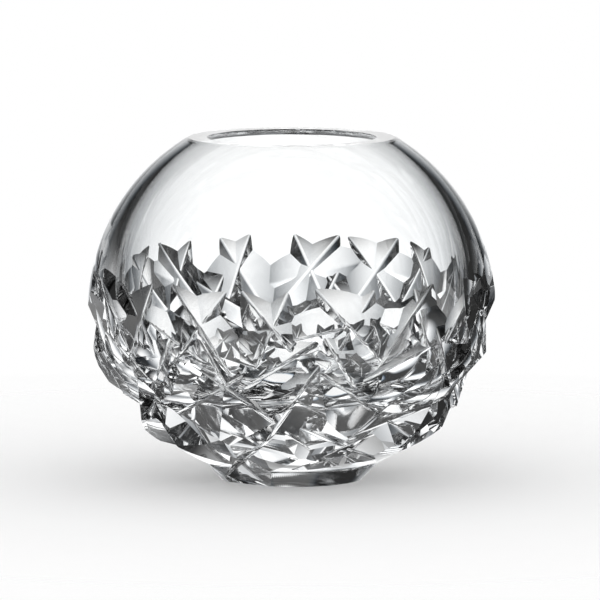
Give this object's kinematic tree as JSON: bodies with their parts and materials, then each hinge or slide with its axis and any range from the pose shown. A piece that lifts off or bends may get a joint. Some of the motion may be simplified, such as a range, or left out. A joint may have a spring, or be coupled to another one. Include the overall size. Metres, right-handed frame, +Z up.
{
  "type": "rose bowl vase",
  "caption": "Round clear crystal rose bowl with a flat ground rim, a wide mouth, deep crossing mitre cuts over its lower half and a short foot, for short-stemmed flowers.",
  "frame": {"origin": "centre of the flat base", "axes": "+Z up through the mouth along the axis that the globe was turned on; -Y is the front of the picture"},
  "size_m": [0.1521, 0.152, 0.128],
  "materials": {
    "crystal": "clear crystal, polished blank and polished cuts, finely ground rim"
  },
  "bodies": {
    "root": {"bowl": "crystal"}
  },
  "joints": []
}
